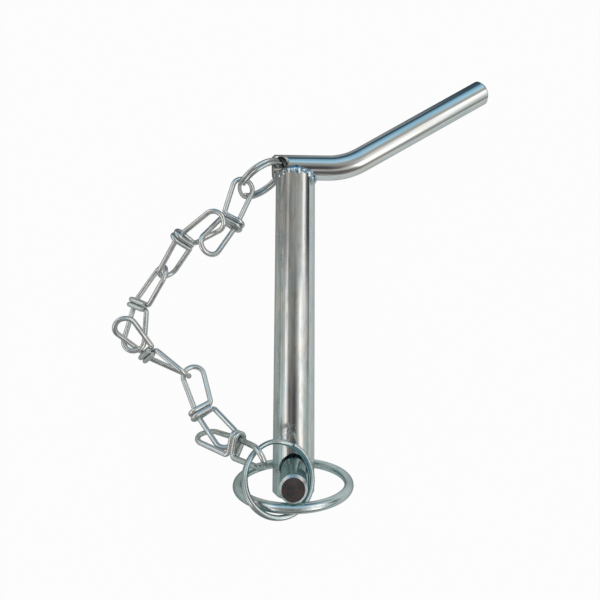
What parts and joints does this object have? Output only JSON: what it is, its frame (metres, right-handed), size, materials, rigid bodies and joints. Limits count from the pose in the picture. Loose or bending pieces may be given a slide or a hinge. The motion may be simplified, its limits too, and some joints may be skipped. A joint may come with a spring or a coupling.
{
  "type": "hitch pin",
  "caption": "Bent-handle hitch pin with a ringed linch pin, tied on by a short knotted-link chain with split rings.",
  "frame": {"origin": "where the shank's axis crosses the axis of the cross hole", "axes": "+Y along the shank to the handle, +Z along the linch pin to its tip, +X the side the handle bends to"},
  "size_m": [0.1778, 0.1977, 0.0563],
  "materials": {
    "zinc_plate": "bright zinc plate",
    "zinc_wire": "bright zinc plated wire",
    "zinc_weld": "plated weld"
  },
  "bodies": {
    "pin": {"shank": "zinc_plate", "handle": "zinc_plate", "weld_bead": "zinc_weld"},
    "linch_pin": {"linch_pin": "zinc_plate"},
    "linch_ring": {"linch_ring": "zinc_wire"},
    "upper_split_ring": {"upper_split_ring": "zinc_wire"},
    "lower_split_ring": {"lower_split_ring": "zinc_wire"},
    "chain_link_1": {"chain_link_1": "zinc_wire"},
    "chain_link_2": {"chain_link_2": "zinc_wire"},
    "chain_link_3": {"chain_link_3": "zinc_wire"},
    "chain_link_4": {"chain_link_4": "zinc_wire"},
    "chain_link_5": {"chain_link_5": "zinc_wire"},
    "chain_link_6": {"chain_link_6": "zinc_wire"}
  },
  "joints": [
    {"name": "linch_pin_draw", "type": "slide", "parent": "pin", "child": "linch_pin", "axis": [0, 0, -1], "range_m": [0, 0.05]},
    {"name": "linch_ring_flip", "type": "hinge", "parent": "linch_pin", "child": "linch_ring", "pos_m": [0, -0.0042, -0.0145], "axis": [1, 0, 0], "range_deg": [0, 170]},
    {"name": "upper_split_ring_swing", "type": "hinge", "parent": "pin", "child": "upper_split_ring", "pos_m": [-0.0072, 0.139, 0], "axis": [-0.064, -0.975, 0.213], "range_deg": [-7, 3]},
    {"name": "chain_link_1_swing", "type": "hinge", "parent": "upper_split_ring", "child": "chain_link_1", "pos_m": [-0.027, 0.1289, 0.0066], "axis": [0.098, -0.9795, 0.1761], "range_deg": [-20, 20]},
    {"name": "chain_link_2_swing", "type": "hinge", "parent": "chain_link_1", "child": "chain_link_2", "pos_m": [-0.0364, 0.105, 0.0127], "axis": [-0.221, 0.963, -0.154], "range_deg": [-20, 20]},
    {"name": "chain_link_3_swing", "type": "hinge", "parent": "chain_link_2", "child": "chain_link_3", "pos_m": [-0.0614, 0.0858, 0.0036], "axis": [-0.516, 0.8139, -0.267], "range_deg": [-15, 15]},
    {"name": "chain_link_4_swing", "type": "hinge", "parent": "chain_link_3", "child": "chain_link_4", "pos_m": [-0.0778, 0.0545, 0.0009], "axis": [-0.7869, 0.5189, -0.334], "range_deg": [-25, 3]},
    {"name": "chain_link_5_swing", "type": "hinge", "parent": "chain_link_4", "child": "chain_link_5", "pos_m": [-0.0508, 0.0387, -0.0043], "axis": [0.6573, -0.4712, 0.5882], "range_deg": [-14, 25]},
    {"name": "chain_link_6_swing", "type": "hinge", "parent": "chain_link_5", "child": "chain_link_6", "pos_m": [-0.0337, 0.0096, 0.0102], "axis": [0.7207, 0.1459, 0.6777], "range_deg": [-8, 14]},
    {"name": "lower_split_ring_rock", "type": "hinge", "parent": "pin", "child": "lower_split_ring", "pos_m": [-0.0108, -0.0089, 0.0312], "axis": [-0.2, 0.9658, -0.165], "range_deg": [-3, 2]}
  ],
  "couplings": [
    {"joint": "linch_pin_draw", "follows": "linch_ring_flip", "m_per_rad": 0.01685}
  ]
}
